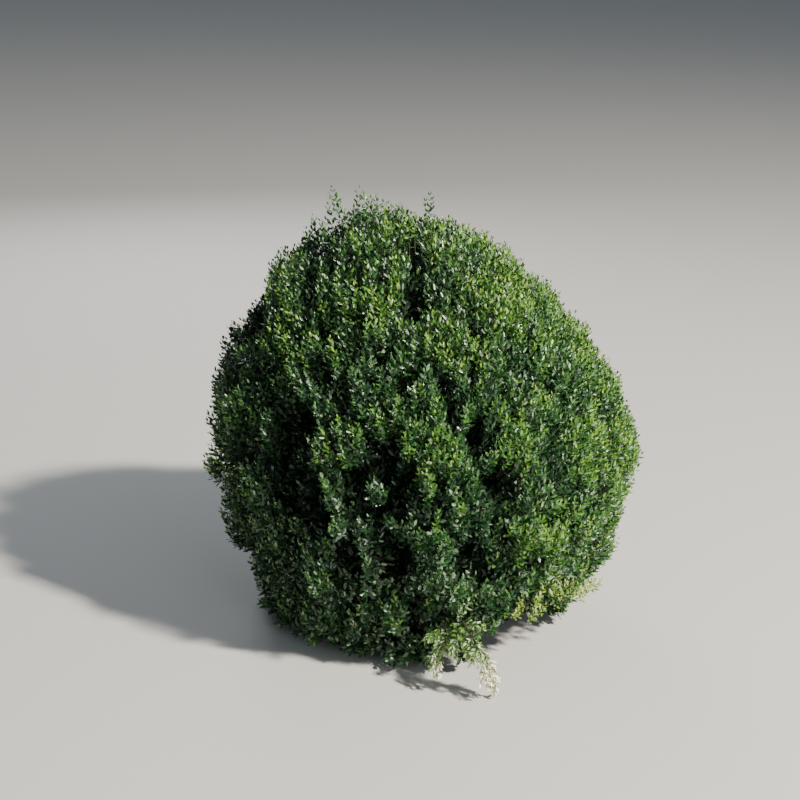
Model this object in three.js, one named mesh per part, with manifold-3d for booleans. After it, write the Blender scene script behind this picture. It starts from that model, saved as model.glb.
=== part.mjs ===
// A clipped box shrub that is rooted in the ground: a short trunk with its root flare, boughs that
// fan out from it inside a bare hollow, and a dense clipped crown in masses, one at the end of each
// bough. A mass is a core that leafy twigs stand out of. One pale spray hangs out low at the front.
// Millimetres. +Z is up, -Y is the front, +X is to the right as seen from the front, and the origin
// is the middle of the flat cut under the trunk, at ground level.
import * as THREE from "three";
import { mergeVertices } from "three/addons/utils/BufferGeometryUtils.js";
import Module from "manifold-3d";

const wasm = await Module();
wasm.setup();

// The clipped outline
const CROWN_WIDTH = 1290;
const CROWN_HEIGHT = 1265;
const WIDEST_HEIGHT = 600;
const TOP_POWER = 1.25; // 2 would give a round dome, 1 a pointed top
const FOOT_SHARE = 0.6; // the crown's radius at the ground as a share of its widest
const FOOT_POWER = 1.8; // the higher, the lower down the crown starts to draw in
const TOP_LEAN = -100; // the top stands this far to the left of the foot
const GROUND_GAP = 6; // nothing leafy comes nearer the ground

// The trunk
const TRUNK_HEIGHT = 255;
const TRUNK_RADIUS = 41;
const TRUNK_TAPER = 0.8; // its radius at the fork as a share of that lower down
const TRUNK_LEAN = -14; // the fork stands this far to the left of the cut
const FLARE = { rise: 34, height: 60, roots: 5, lobe: 0.1 };

// The heart is the point that boughs and masses spread out from, in the middle of the bare hollow.
// A share is of the way from the heart to the outline.
const HEART_HEIGHT = 530;
const HOLLOW = { radius: 285, footShare: 0.6 };
const CORE = { share: 0.875, wallGap: 9, roundness: 9, detail: 2 };
const BOUGH = { reach: 260, taper: 0.62, startPull: 0.4, endPull: 0.35, stagger: 18 };
const SEAT_GAP = 0.3; // between a bough and the trunk, and between a stem and its bough

// The tiers of masses: the elevation and first azimuth of their headings, and how high up the trunk
// and how steeply their boughs leave it
const TIERS = [
  { name: "side", count: 7, elevation: -10, turn: 1.6, foot: 105, lift: 25, boughRadius: 14 },
  { name: "shoulder", count: 5, elevation: 40, turn: 31, foot: 160, lift: 42, boughRadius: 15.5 },
  { name: "crown_top", count: 1, elevation: 90, turn: 0, foot: 243, lift: 90, boughRadius: 25 },
];

// The rule that twigs branch by. A mass's stem parts at its hub, and each order of twigs has so many
// ends over the whole sphere, at a share of the way to the outline.
const HUB_SHARE = 0.54;
const BRANCH = { count: 62, share: 0.66, radius: 7, seed: 11 };
const TWIG = { count: 158, share: 0.925, radius: 4.6, seed: 23 };
const TWIG_TAPER = 0.6;
const JITTER = 0.28; // of the spacing between two ends of one order
const DROOP = { from: 0.55, share: 0.3 }; // the low twigs end further out, near the ground
const SKIRT_HEIGHT = 34; // the lowest twigs end this high
const FORK_FROM = 0.45; // a twig leaves its branch this far along it
const OUTWARD_PULL = 0.5; // how strongly a twig bends to stand out from the crown
const UPWARD_PULL = 0.3;
const SPRIG = { chance: 0.1, rise: 34 }; // twigs that the shears missed

// Leaves, larger than life, in crossed pairs. The foot is sunk past the twig's middle by the root.
const LEAF = { length: 84, width: 42, thickness: 5, widestAt: 0.5, thickestAt: 0.28, root: 1.2 };
const LEAF_PAIRS = [
  { fromTip: 7, spread: 36, size: 0.85 },
  { fromTip: 32, spread: 60, size: 1 },
];
const WALL_GAP = 4; // from a leaf or a twig's tip to the wall between two masses
const LIMB_GAP = 5; // from a leaf or a twig to a bough

// The pale spray that hangs out low at the front, between two of the side masses
const HANGING = {
  azimuth: TIERS[0].turn + (360 / TIERS[0].count) * 5.5,
  foot: 62,
  lift: 4,
  boughRadius: 8.5,
  boughEnd: { radius: 395, height: 150, lift: 22 },
  stiffness: 90,
  crest: { radius: 590, height: 235 },
  tip: { radius: 612, height: 40 },
  tipThickness: 2.4,
  twigs: 8,
  twigLength: 62,
  twigTurn: 70,
  twigDip: 6,
  leafSize: 0.72,
};

const GOLDEN_ANGLE = Math.PI * (3 - Math.sqrt(5));
const UP = new THREE.Vector3(0, 0, 1);
const HEART = new THREE.Vector3(0, 0, HEART_HEIGHT);
const radians = THREE.MathUtils.degToRad;
const clamp = THREE.MathUtils.clamp;
const lerp = THREE.MathUtils.lerp;

// A seeded number from 0 to 1 for two whole numbers.
function chance(seed, index) {
  let h = Math.imul(seed, 0x9e3779b1) ^ Math.imul(index + 1, 0x85ebca6b);
  h = Math.imul(h ^ (h >>> 15), 0x2c1b3c6d);
  h = Math.imul(h ^ (h >>> 12), 0x297a2d39);
  return ((h ^ (h >>> 15)) >>> 0) / 4294967296;
}

// The unit vector of an azimuth, which is 0 along +X and 90 along +Y, and an elevation.
function heading(azimuth, elevation) {
  const level = Math.cos(radians(elevation));
  return new THREE.Vector3(
    Math.cos(radians(azimuth)) * level,
    Math.sin(radians(azimuth)) * level,
    Math.sin(radians(elevation)),
  );
}

function along(start, direction, distance) {
  return start.clone().addScaledVector(direction, distance);
}

// The clipped outline: the crown's radius and the place of its axis at a height.
function outlineRadius(z) {
  const above = clamp((z - WIDEST_HEIGHT) / (CROWN_HEIGHT - WIDEST_HEIGHT), 0, 1);
  const below = clamp((WIDEST_HEIGHT - z) / WIDEST_HEIGHT, 0, 1);
  const dome = Math.sqrt(1 - above ** TOP_POWER);
  const skirt = 1 - (1 - FOOT_SHARE) * below ** FOOT_POWER;
  return (CROWN_WIDTH / 2) * dome * skirt;
}

function axisX(z) {
  return TOP_LEAN * clamp((z - WIDEST_HEIGHT) / (CROWN_HEIGHT - WIDEST_HEIGHT), 0, 1);
}

// How far the crown reaches from its heart in a direction.
function reach(direction) {
  let near = 0;
  let far = CROWN_HEIGHT;
  for (let i = 0; i < 24; i++) {
    const middle = (near + far) / 2;
    const p = along(HEART, direction, middle);
    const isOutside = p.z > CROWN_HEIGHT || Math.hypot(p.x - axisX(p.z), p.y) > outlineRadius(p.z);
    if (isOutside) far = middle;
    else near = middle;
  }
  return near;
}

// The masses: each has the directions nearer to its own heading than to any other.
function planMasses() {
  const masses = [];
  for (const tier of TIERS)
    for (let i = 0; i < tier.count; i++) {
      const azimuth = tier.turn + (360 / tier.count) * i;
      const name = tier.count > 1 ? `${tier.name}_${i + 1}` : tier.name;
      const foot = tier.foot + BOUGH.stagger * (i % 2);
      masses.push({ name, tier, azimuth, foot, heading: heading(azimuth, tier.elevation) });
    }
  for (const mass of masses)
    mass.walls = masses
      .filter((other) => other !== mass)
      .map((other) => mass.heading.clone().sub(other.heading).normalize());
  return masses;
}

// How far a point stands off from the nearest wall of a mass, below zero beyond it.
function wallRoom(mass, point) {
  const out = point.clone().sub(HEART);
  return Math.min(...mass.walls.map((wall) => wall.dot(out)));
}

// How deep a point lies inside each side of a mass's own space: the outline, the hollow, the ground
// and the walls. It is below zero outside one.
function roomIn(mass, point, share, wallGap, rise = 0) {
  const out = point.clone().sub(HEART);
  const distance = out.length();
  const isAbove = point.z > HEART_HEIGHT;
  const hollow = HOLLOW.radius * lerp(HOLLOW.footShare, 1, clamp(point.z / HEART_HEIGHT, 0, 1));
  return [
    share * reach(out.clone().normalize()) + rise - distance,
    (isAbove ? distance : Math.hypot(out.x, out.y)) - hollow,
    point.z - GROUND_GAP,
    ...mass.walls.map((wall) => wall.dot(out) - wallGap),
  ];
}

function softLeast(values, softness) {
  return -softness * Math.log(values.reduce((sum, v) => sum + Math.exp(-v / softness), 0));
}

// The points that one order of twigs ends at: an even spiral over the sphere, jogged by chance.
function spiralEnds({ count, share, seed }) {
  const spacing = Math.sqrt((4 * Math.PI) / count);
  const ends = [];
  for (let index = 0; index < count; index++) {
    const up = 1 - (2 * index + 1) / count;
    const turn = index * GOLDEN_ANGLE + seed;
    const level = Math.sqrt(1 - up * up);
    const direction = new THREE.Vector3(Math.cos(turn) * level, Math.sin(turn) * level, up);
    for (const [n, axis] of ["x", "y", "z"].entries())
      direction[axis] += (2 * chance(seed, 3 * index + n) - 1) * JITTER * spacing;
    direction.normalize();
    const droop = DROOP.share * Math.max(0, -direction.z - DROOP.from);
    const toSkirt = (SKIRT_HEIGHT - HEART_HEIGHT) / Math.min(direction.z, -1e-6);
    const distance = Math.min((share + droop) * reach(direction), toSkirt);
    ends.push({ index, direction, point: along(HEART, direction, distance) });
  }
  return ends;
}

// A closed three.js geometry as a solid, and a solid as a geometry.
function solidOf(geometry) {
  const bare = geometry.clone();
  bare.deleteAttribute("normal");
  bare.deleteAttribute("uv");
  const merged = mergeVertices(bare, 1e-3);
  return new wasm.Manifold(
    new wasm.Mesh({
      numProp: 3,
      vertProperties: merged.attributes.position.array,
      triVerts: new Uint32Array(merged.index.array),
    }),
  );
}

function geometryOf(solid) {
  const { vertProperties, triVerts } = solid.getMesh();
  return new THREE.BufferGeometry()
    .setAttribute("position", new THREE.BufferAttribute(vertProperties, 3))
    .setIndex(new THREE.BufferAttribute(triVerts, 1))
    .toNonIndexed();
}

// Joins solids into one, and drops any scrap that the joining leaves loose.
function fuse(solids) {
  const joined = wasm.Manifold.union(solids).simplify(0.02);
  return joined.decompose().reduce((most, s) => (s.volume() > most.volume() ? s : most));
}

// A tapering limb: an upright cylinder whose rings are moved onto a curve. radiusAt gives the radius
// for a share of the way along and an angle around.
function limbGeometry(curve, radiusAt, sides, steps) {
  const geometry = new THREE.CylinderGeometry(1, 1, 1, sides, steps);
  const overall = curve.getPoint(1).sub(curve.getPoint(0)).normalize();
  const reference = Math.abs(overall.z) > 0.8 ? heading(0, 0) : UP;
  const position = geometry.attributes.position;
  const at = new THREE.Vector3();
  for (let i = 0; i < position.count; i++) {
    at.fromBufferAttribute(position, i);
    const share = clamp(at.y + 0.5, 0, 1);
    const angle = Math.atan2(at.z, at.x);
    const radius = radiusAt(share, angle) * Math.hypot(at.x, at.z);
    const tangent = curve.getTangent(share);
    const side = tangent.clone().cross(reference).normalize();
    const front = side.clone().cross(tangent);
    const placed = along(curve.getPoint(share), side, Math.cos(angle) * radius);
    placed.addScaledVector(front, Math.sin(angle) * radius);
    position.setXYZ(i, placed.x, placed.y, placed.z);
  }
  return geometry;
}

function taper(from, to) {
  return (share) => lerp(from, to, share);
}

function trunkShift(z) {
  return TRUNK_LEAN * (z / TRUNK_HEIGHT) ** 2;
}

// The trunk: a true taper with a lobed root flare, cut flat at ground level. It can be made larger
// all round, for cutting the boughs clear of it.
function trunkGeometry(grow = 0) {
  const height = TRUNK_HEIGHT + grow;
  const curve = new THREE.LineCurve3(new THREE.Vector3(), new THREE.Vector3(0, 0, height));
  const radiusAt = (share, angle) => {
    const flare = Math.exp((-share * height) / FLARE.height);
    const lobe = 1 + FLARE.lobe * flare * Math.cos(FLARE.roots * angle);
    return (TRUNK_RADIUS * lerp(1, TRUNK_TAPER, share) + FLARE.rise * flare) * lobe + grow;
  };
  const geometry = limbGeometry(curve, radiusAt, 20, 8);
  const position = geometry.attributes.position;
  for (let i = 0; i < position.count; i++)
    position.setX(i, position.getX(i) + trunkShift(position.getZ(i)));
  return geometry;
}

// A bough runs from inside the trunk to its tip and is cut clear of the trunk.
function growBough({ azimuth, foot, lift, radius, tip, tipHeading }, trunkCutter) {
  const start = new THREE.Vector3(trunkShift(foot), 0, foot);
  const span = start.distanceTo(tip);
  const curve = new THREE.CubicBezierCurve3(
    start,
    along(start, heading(azimuth, lift), span * BOUGH.startPull),
    along(tip, tipHeading, -span * BOUGH.endPull),
    tip,
  );
  const tipRadius = radius * BOUGH.taper;
  const whole = solidOf(limbGeometry(curve, taper(radius, tipRadius), 7, 6));
  return { tip, tipHeading, tipRadius, solid: fuse([whole.subtract(trunkCutter)]) };
}

function growMassBough(mass, trunkCutter) {
  const { azimuth, foot, tier } = mass;
  const tip = along(HEART, mass.heading, BOUGH.reach);
  const form = { azimuth, foot, lift: tier.lift, radius: tier.boughRadius };
  return growBough({ ...form, tip, tipHeading: mass.heading }, trunkCutter);
}

function growHangingBough(trunkCutter) {
  const { azimuth, foot, lift, boughRadius, boughEnd } = HANGING;
  const tip = heading(azimuth, 0).multiplyScalar(boughEnd.radius).setZ(boughEnd.height);
  const form = { azimuth, foot, lift, radius: boughRadius };
  return growBough({ ...form, tip, tipHeading: heading(azimuth, boughEnd.lift) }, trunkCutter);
}

// A sphere let out from a centre until it meets the sides of a space.
function letOut(centre, room) {
  const geometry = new THREE.IcosahedronGeometry(1, CORE.detail);
  const position = geometry.attributes.position;
  for (let i = 0; i < position.count; i++) {
    const direction = new THREE.Vector3().fromBufferAttribute(position, i).normalize();
    let distance = 0;
    for (let step = 64; step > 0.5; step /= 2)
      while (room(along(centre, direction, distance + step)) > 0) distance += step;
    const placed = along(centre, direction, distance);
    position.setXYZ(i, placed.x, placed.y, placed.z);
  }
  return geometry;
}

// The core of a mass is let out once to find the middle of its space, and again from there.
function coreGeometry(mass) {
  const middle = (CORE.share + HUB_SHARE) / 2;
  const centre = along(HEART, mass.heading, middle * reach(mass.heading));
  const room = (p) => softLeast(roomIn(mass, p, CORE.share, CORE.wallGap), CORE.roundness);
  const first = letOut(centre, room);
  first.computeBoundingBox();
  const better = first.boundingBox.getCenter(new THREE.Vector3());
  return letOut(better, room);
}

// A leaf of eight faces, thickest near its foot, laid from a root along an axis with its upper side
// along a normal.
function leafGeometry(root, axis, normal, size) {
  const { length, width, thickness, widestAt, thickestAt } = LEAF;
  const blade = new THREE.OctahedronGeometry(1, 0);
  const position = blade.attributes.position;
  for (let i = 0; i < position.count; i++) {
    const x = position.getX(i);
    const y = position.getY(i);
    const z = position.getZ(i);
    const isEnd = Math.abs(y) > 0.5;
    const way = isEnd ? (y + 1) / 2 : Math.abs(x) * widestAt + Math.abs(z) * thickestAt;
    position.setXYZ(i, (x * width) / 2, way * length, (z * thickness) / 2);
  }
  blade.scale(size, size, size);
  const side = axis.clone().cross(normal);
  const placing = new THREE.Matrix4().makeBasis(side, axis, normal);
  placing.setPosition(along(root, axis, -LEAF.root));
  return blade.applyMatrix4(placing);
}

function cornersOf(geometry) {
  const position = geometry.attributes.position;
  return Array.from({ length: position.count }, (_, i) =>
    new THREE.Vector3().fromBufferAttribute(position, i),
  );
}

// Leaves in crossed pairs along the straight end of a twig. Those that don't fit are skipped.
function growLeaves(knee, tip, index, fits, size = 1) {
  const tangent = tip.clone().sub(knee).normalize();
  const flat = tangent.clone().cross(Math.abs(tangent.z) > 0.95 ? heading(0, 0) : UP).normalize();
  const leaves = [];
  for (const [row, pair] of LEAF_PAIRS.entries()) {
    const fromTip = pair.fromTip * size;
    if (fromTip > tip.distanceTo(knee)) continue;
    const root = along(tip, tangent, -fromTip);
    const spread = radians(pair.spread);
    const turn = (row * Math.PI) / 2 + chance(TWIG.seed + 5, index) * Math.PI;
    for (const half of [0, Math.PI]) {
      const sideways = flat.clone().applyAxisAngle(tangent, turn + half);
      const axis = tangent.clone().multiplyScalar(Math.cos(spread));
      axis.addScaledVector(sideways, Math.sin(spread)).normalize();
      const normal = tangent.clone().multiplyScalar(Math.sin(spread));
      normal.addScaledVector(sideways, -Math.cos(spread)).normalize();
      const leaf = leafGeometry(root, axis, normal, pair.size * size);
      if (fits(leaf)) leaves.push(solidOf(leaf));
    }
  }
  return leaves;
}

// A twig from its root to its end, bent so that it stands outward and a little upward there, or
// straight where the bend would come near a wall.
function twigCurve(mass, root, end, direction) {
  const lean = direction.clone().multiplyScalar(OUTWARD_PULL).addScaledVector(UP, UPWARD_PULL);
  const bend = along(end, lean, -root.distanceTo(end));
  const curve = new THREE.QuadraticBezierCurve3(root, bend, end);
  const hasRoom = wallRoom(mass, curve.getPoint(0.5)) > 2 * BRANCH.radius;
  return hasRoom ? curve : new THREE.LineCurve3(root, end);
}

function twigSolid(curve, radius, tipRadius) {
  return solidOf(limbGeometry(curve, taper(radius, tipRadius), 3, 2));
}

function nearest(end, others) {
  return others.reduce((best, other) =>
    other.point.distanceTo(end.point) < best.point.distanceTo(end.point) ? other : best,
  );
}

// A leafy twig from the nearest branch, or nothing where it would leave its mass or touch a limb.
function growTwig(mass, end, branches, limbs) {
  const isSprig = end.direction.z > 0 && chance(TWIG.seed + 1, end.index) < SPRIG.chance;
  const rise = isSprig ? SPRIG.rise : 0;
  const tip = along(end.point, end.direction, rise);
  const isWithin = (p) => Math.min(...roomIn(mass, p, 1, WALL_GAP, rise)) > 0;
  const isClear = (solid) => solid.minGap(limbs, LIMB_GAP) >= LIMB_GAP;
  const root = nearest(end, branches).curve.getPoint(FORK_FROM);
  const curve = twigCurve(mass, root, tip, end.direction);
  const twig = twigSolid(curve, TWIG.radius, TWIG.radius * TWIG_TAPER);
  if (!isWithin(tip) || !isClear(twig)) return [];
  const fits = (leaf) => cornersOf(leaf).every(isWithin) && isClear(solidOf(leaf));
  return [twig, ...growLeaves(curve.getPoint(0.5), tip, end.index, fits)];
}

// A mass: one stem from its bough, branches from the stem's hub, and leafy twigs from the branches,
// fused with the core that they stand out of.
function growMass(mass, bough, branchEnds, twigEnds, limbs) {
  const seat = along(bough.tip, bough.tipHeading, SEAT_GAP);
  const hub = along(HEART, mass.heading, HUB_SHARE * reach(mass.heading));
  const stemCurve = new THREE.LineCurve3(seat, hub);
  const stem = solidOf(limbGeometry(stemCurve, taper(bough.tipRadius, BRANCH.radius), 7, 1));
  const branches = branchEnds
    .filter((end) => wallRoom(mass, end.point) > 2 * BRANCH.radius)
    .map((end) => ({ ...end, curve: twigCurve(mass, hub, end.point, end.direction) }));
  const twigs = twigEnds
    .filter((end) => wallRoom(mass, end.point) > 0)
    .flatMap((end) => growTwig(mass, end, branches, limbs));
  return fuse([
    solidOf(coreGeometry(mass)),
    stem,
    ...branches.map(({ curve }) => twigSolid(curve, BRANCH.radius, TWIG.radius)),
    ...twigs,
  ]);
}

// The pale spray: a stem that arches out of the crown and hangs to the ground, with short leafy
// twigs to the left and right by turns, all outside the crown.
function growHangingSpray(bough) {
  const { azimuth, crest, tip, twigs } = HANGING;
  const seat = along(bough.tip, bough.tipHeading, SEAT_GAP);
  const curve = new THREE.CubicBezierCurve3(
    seat,
    along(seat, bough.tipHeading, HANGING.stiffness),
    heading(azimuth, 0).multiplyScalar(crest.radius).setZ(crest.height),
    heading(azimuth, 0).multiplyScalar(tip.radius).setZ(tip.height),
  );
  const isOutside = (p) => {
    const out = p.clone().sub(HEART);
    return out.length() > reach(out.clone().normalize()) + LIMB_GAP && p.z > GROUND_GAP;
  };
  const fits = (leaf) => cornersOf(leaf).every(isOutside);
  const radiusAt = taper(bough.tipRadius, HANGING.tipThickness);
  const solids = [solidOf(limbGeometry(curve, radiusAt, 5, twigs))];
  for (let i = 2; i <= twigs; i++) {
    const turn = i % 2 ? HANGING.twigTurn : -HANGING.twigTurn;
    const root = curve.getPoint(i / twigs);
    const end = along(root, heading(azimuth + turn, -HANGING.twigDip * (i + 2)), HANGING.twigLength);
    if (!isOutside(end)) continue;
    solids.push(twigSolid(new THREE.LineCurve3(root, end), TWIG.radius, TWIG.radius * TWIG_TAPER));
    solids.push(...growLeaves(root, end, i, fits, HANGING.leafSize));
  }
  return fuse(solids);
}

const BARK = new THREE.MeshStandardMaterial({ color: 0x75654d, roughness: 0.92, metalness: 0 });
const GREEN_LEAF = new THREE.MeshStandardMaterial({ color: 0x3d6b24, roughness: 0.45, metalness: 0 });
const PALE_LEAF = new THREE.MeshStandardMaterial({ color: 0xd3cd98, roughness: 0.6, metalness: 0 });

function buildShrub() {
  const shrub = new THREE.Group();
  const addNode = (name, solid, material) => {
    const mesh = new THREE.Mesh(geometryOf(solid), material);
    mesh.name = name;
    shrub.add(mesh);
  };

  const trunkCutter = solidOf(trunkGeometry(SEAT_GAP));
  const masses = planMasses();
  const boughs = masses.map((mass) => growMassBough(mass, trunkCutter));
  const hangingBough = growHangingBough(trunkCutter);
  const hangingSpray = growHangingSpray(hangingBough);
  const boughSolids = [...boughs, hangingBough].map((bough) => bough.solid);
  const limbs = wasm.Manifold.union([...boughSolids, hangingSpray]);
  const branchEnds = spiralEnds(BRANCH);
  const twigEnds = spiralEnds(TWIG);

  addNode("trunk", solidOf(trunkGeometry()), BARK);
  for (const [i, mass] of masses.entries()) {
    const foliage = growMass(mass, boughs[i], branchEnds, twigEnds, limbs);
    addNode(`bough_${mass.name}`, boughs[i].solid, BARK);
    addNode(`foliage_${mass.name}`, foliage, GREEN_LEAF);
  }
  addNode("bough_hanging_spray", hangingBough.solid, BARK);
  addNode("foliage_hanging_spray", hangingSpray, PALE_LEAF);
  return shrub;
}

export default buildShrub();
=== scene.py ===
import math

import bpy
import numpy as np
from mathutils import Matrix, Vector, noise


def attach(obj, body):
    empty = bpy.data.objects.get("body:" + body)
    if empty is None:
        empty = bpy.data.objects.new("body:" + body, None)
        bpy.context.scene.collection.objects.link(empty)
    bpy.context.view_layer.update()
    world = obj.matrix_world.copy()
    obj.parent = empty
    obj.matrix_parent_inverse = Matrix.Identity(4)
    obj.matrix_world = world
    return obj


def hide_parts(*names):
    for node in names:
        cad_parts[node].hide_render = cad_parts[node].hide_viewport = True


# The looks of a clipped box shrub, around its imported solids. Trunk and boughs get a mesh with the
# bark's relief. Each mass of foliage is replaced by a stem, branches and twigs that grow on from its
# bough by the rule of the part's source, carried to two finer orders, with real-sized leaves in
# crossed pairs. Sizes are millimetres, as in the source. Floor, lights and camera are in metres.
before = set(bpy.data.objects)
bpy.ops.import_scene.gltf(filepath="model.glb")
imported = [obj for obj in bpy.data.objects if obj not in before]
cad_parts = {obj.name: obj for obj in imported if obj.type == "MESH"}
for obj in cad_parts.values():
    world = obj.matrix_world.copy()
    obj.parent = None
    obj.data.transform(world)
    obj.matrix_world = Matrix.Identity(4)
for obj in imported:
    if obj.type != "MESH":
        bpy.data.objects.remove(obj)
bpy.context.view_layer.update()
METRES = 0.001

# The clipped outline, as in the part's source
CROWN_WIDTH = 1290
CROWN_HEIGHT = 1265
WIDEST_HEIGHT = 600
TOP_POWER = 1.25
FOOT_SHARE = 0.6
FOOT_POWER = 1.8
TOP_LEAN = -100
GROUND_GAP = 6
REACH_HALVINGS = 24

# The trunk
TRUNK_HEIGHT = 255
TRUNK_RADIUS = 41
TRUNK_TAPER = 0.8
TRUNK_LEAN = -14
TRUNK_TOP = {"height": 16, "rounding": 0.3}
TRUNK_MESH = {"sides": 72, "steps": 70, "relief": 2.6, "plate": 13, "middle": 0.02}
FLARE = {"rise": 34, "height": 60, "roots": 5, "lobe": 0.1}

# The heart, the hollow round the boughs, and the boughs
HEART_HEIGHT = 530
BARE = {"radius": 285, "foot_share": 0.6}
BOUGH = {"reach": 260, "taper": 0.62, "start_pull": 0.4, "end_pull": 0.35, "stagger": 18}
BOUGH_MESH = {"sides": 20, "steps": 44, "relief": 1.1}
BOUGH_BARK = {"plate": 9, "full_radius": 14}  # the relief is full on a bough of this radius
COLLAR = {"swell": 0.3, "length": 18}
SEAT_GAP = 0.3
TIERS = [
    {"name": "side", "count": 7, "elevation": -10, "turn": 1.6, "foot": 105, "lift": 25, "radius": 14},
    {"name": "shoulder", "count": 5, "elevation": 40, "turn": 31, "foot": 160, "lift": 42, "radius": 15.5},
    {"name": "crown_top", "count": 1, "elevation": 90, "turn": 0, "foot": 243, "lift": 90, "radius": 25},
]

# The bark's relief: long plates between cracks
FISSURES = {"stretch": 0.4, "crack": 3.2, "height": 1.3, "floor": 0.8, "fine": 0.35, "fine_scale": 2.7}

# The source's two orders of twigs, the two finer ones, and the shoots inside the crown
HUB_SHARE = 0.54
BRANCH = {"count": 62, "share": 0.66, "radius": 7, "tip": 4.6, "sides": 7, "steps": 6, "seed": 11}
TWIG = {"count": 158, "share": 0.925, "radius": 4.6, "tip": 2.0, "sides": 5, "steps": 5, "seed": 23}
TWIGLET = {"count": 1000, "share": 0.9, "radius": 2.2, "tip": 1.1, "sides": 4, "steps": 3, "seed": 37}
SHOOT = {"count": 15000, "share": 1.05, "radius": 1.0, "tip": 0.5, "sides": 3, "steps": 2, "seed": 53}
INNER = {"count": 2900, "share": 0.79, "seed": 71, "scatter": 90}
STEM = {"tip": BRANCH["radius"], "sides": 10, "steps": 4}
BRANCH_ROOM = 2 * BRANCH["radius"]  # a branch keeps this far from its mass's walls
JITTER = 0.28
DROOP = {"from": 0.55, "share": 0.3}
SKIRT_HEIGHT = 34
TOP_TRIM = 0.01  # the shears cut closer on top
SIDE_GROWTH = 0.035  # and less at the left and right
FORK_FROM = 0.45
SHOOT_FORK_FROM = FORK_FROM + 0.1
OUTWARD_PULL = 0.5
UPWARD_PULL = 0.3
SHOOT_PULL = 0.6  # the youngest shoots turn up more
SPRIG = {"chance": 0.1, "rise": 34, "leaf_size": 0.9}
MOST_OUTSIDE = 2.5 * SPRIG["rise"]  # no leaf lies further outside the outline
LOWEST_BEND = 3 * GROUND_GAP
LIMB_ROOM = 15  # from a leaf to a bough's middle line
LIMB_STEPS = 40

# How the shoots' ends make lumps and gaps: each bigger twig's end is the top of a dome. The crown is
# more open, with deeper lumps, low on its left at the front.
DOMES = [
    {"order": TWIG, "depth": 30, "flat": 0.8, "uneven": 6},
    {"order": TWIGLET, "depth": 34, "flat": 0.6, "uneven": 15},
]
DOME_EDGE = {"crown_radius": 600, "share": 0.6, "most": 1.3}
OPEN_SIDE = {"towards": (-0.6, -0.7, -0.38), "from": 0.3, "span": 0.5, "deeper": 0.7}
LOW = {"height": 620, "span": 300, "share": 0.75, "uneven": 2.0, "out": 0.42, "rise": 0.7}
GAPS = [
    {"size": 125, "level": 0.5, "lower": 0.16, "edge": 0.14, "depth": 95},
    {"size": 52, "level": 0.34, "lower": 0.2, "edge": 0.2, "depth": 50},
]
GAP_NOISE = {"flat": 0.65, "fine": 0.5, "fine_scale": 2.3}
SURFACE_SHARE = 0.95  # of the crown's reach, where gaps and domes are measured
TWIG_SINK = 0.7  # of a gap's depth, for the bigger twigs' ends
END_SCATTER = 10

# Hollows that the photograph shows in the crown's front: middle, half sizes across and up, depth.
# The last one is a dent in the outline at the left shoulder.
HOLLOWS = [
    ((-32, -338, 1110), 32, 85, 120),
    ((146, -373, 1018), 26, 46, 85),
    ((-55, -505, 909), 31, 50, 75),
    ((65, -497, 901), 27, 50, 80),
    ((157, -549, 776), 34, 60, 80),
    ((90, -592, 724), 36, 24, 85),
    ((228, -585, 653), 56, 60, 105),
    ((-79, -639, 591), 39, 38, 90),
    ((37, -642, 601), 18, 35, 60),
    ((166, -586, 402), 66, 62, 100),
    ((-76, -591, 362), 52, 112, 110),
    ((-267, -393, 998), 30, 32, 80),
    ((-207, -287, 1134), 43, 44, 50),
    ((-289, -446, 905), 33, 47, 80),
    ((-225, -598, 626), 42, 66, 100),
    ((-224, -545, 345), 57, 105, 110),
    ((-333, -539, 499), 71, 100, 110),
    ((-393, -462, 752), 71, 90, 90),
    ((373, -516, 511), 31, 41, 50),
    ((308, -488, 754), 26, 30, 45),
    ((91, -511, 198), 17, 70, 70),
    ((-12, -500, 165), 25, 55, 70),
    ((-529, -20, 945), 230, 100, 48),
]
HOLLOW_EDGE = {"to": 1.3, "width": 0.5}  # in half sizes from a hollow's middle

# Low on the right at the front, the crown's edge stands clear of the ground
LIFTED = {"turn": -44, "width": 32, "height": 180, "steep": 2.5}

# Single shoots that the shears missed, where the photograph shows them: the point of each
STRAYS = [
    (-272, 0, 1296), (-280, -8, 1280), (-264, 10, 1282), (-258, -8, 1268),
    (-246, -30, 1256), (-284, -14, 1250), (-194, -20, 1300), (-182, -12, 1282),
    (-202, -10, 1286), (4, -40, 1290), (12, -32, 1276), (-8, -30, 1270),
    (-425, -40, 1092), (-412, -10, 1118), (-536, -30, 885), (-330, 60, 1202),
]

# Leaves in crossed pairs on a shoot, from its tip down
LEAF = {
    "length": 20,
    "width": 0.42,  # of its length
    "first": 2,  # from the shoot's tip
    "step": 7.4,  # between two pairs
    "last": 0.96,  # of the shoot's length
    "face_up": 0.5,
    "steep": 0.95,
}
LEAF_UNEVEN = {"turn": 0.3, "spread": 20, "twist": 0.75, "length": 0.14, "shoot": 0.12}
LEAF_PAIRS = [(0.6, 20), (0.86, 34), (1.0, 44), (1.06, 52), (1.04, 58), (1.0, 64)]  # size, spread
SPRIG_PAIRS = LEAF_PAIRS + LEAF_PAIRS[2:]
SPRAY_PAIRS = LEAF_PAIRS + LEAF_PAIRS[2:] * 5
LEAF_POINTS = np.array([
    # across, along, up, for a leaf of unit length and width, folded along its middle
    [0.0, 0.0, 0.0],
    [-0.44, 0.32, -0.08],
    [-0.42, 0.68, -0.09],
    [0.0, 1.0, -0.06],
    [0.42, 0.68, -0.09],
    [0.44, 0.32, -0.08],
])
LEAF_FACES = np.array([[0, 5, 4], [0, 4, 3], [0, 3, 2], [0, 2, 1]])

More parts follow.
